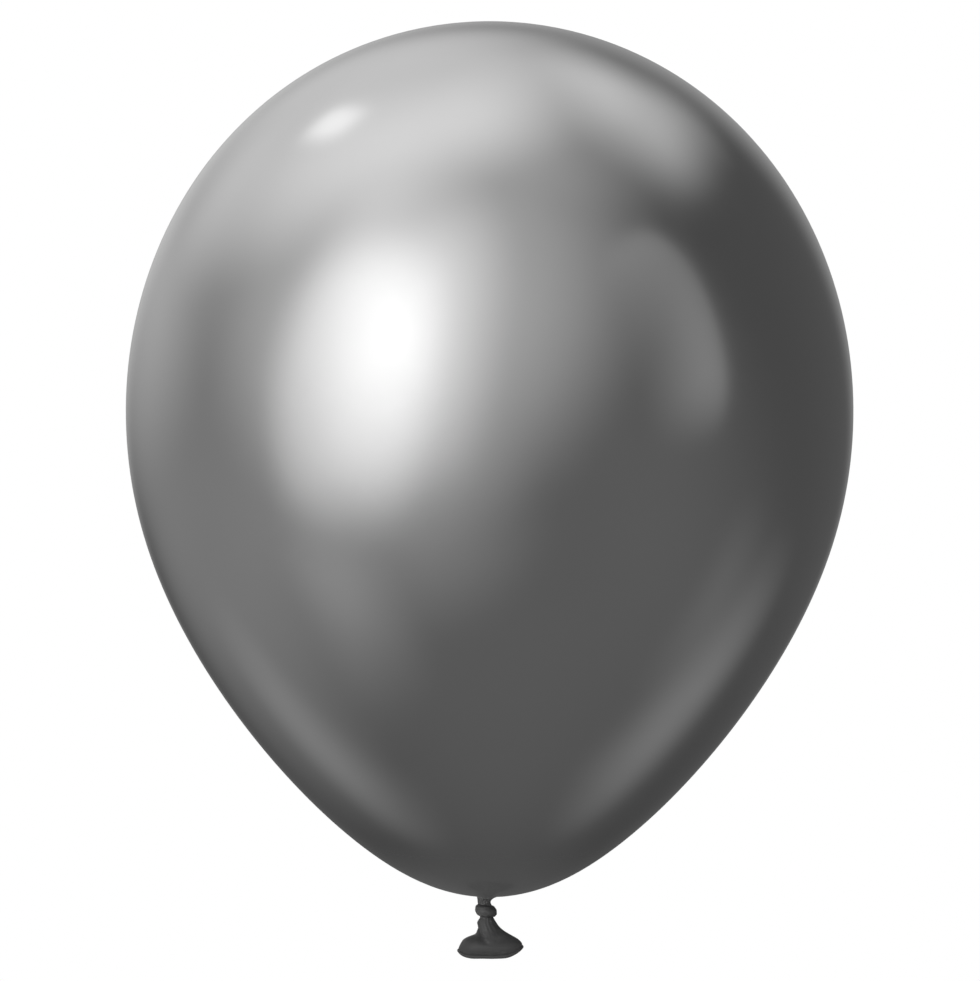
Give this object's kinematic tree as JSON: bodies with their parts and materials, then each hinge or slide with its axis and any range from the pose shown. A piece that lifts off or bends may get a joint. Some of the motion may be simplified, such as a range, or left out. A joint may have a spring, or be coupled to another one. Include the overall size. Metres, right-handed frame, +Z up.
{
  "type": "chrome latex balloon",
  "caption": "Pear-shaped latex party balloon with a dark chrome finish, blown up and tied with its own neck, with a flared, rolled tail.",
  "frame": {"origin": "on the envelope's axis, at the height of the waist of the neck, between the envelope and the knot", "axes": "+Z up through the envelope's top, +X to the right along the wide way of the tail's mouth, -Y the front"},
  "size_m": [0.2978, 0.2978, 0.3842],
  "materials": {
    "chrome_latex": "dark grey chrome-effect latex, stretched and glossy",
    "slack_latex": "dark grey metallic latex, unstretched and satin"
  },
  "bodies": {
    "root": {"envelope": "chrome_latex", "neck": "slack_latex", "knot": "slack_latex", "tail": "slack_latex", "lip": "slack_latex"}
  },
  "joints": []
}
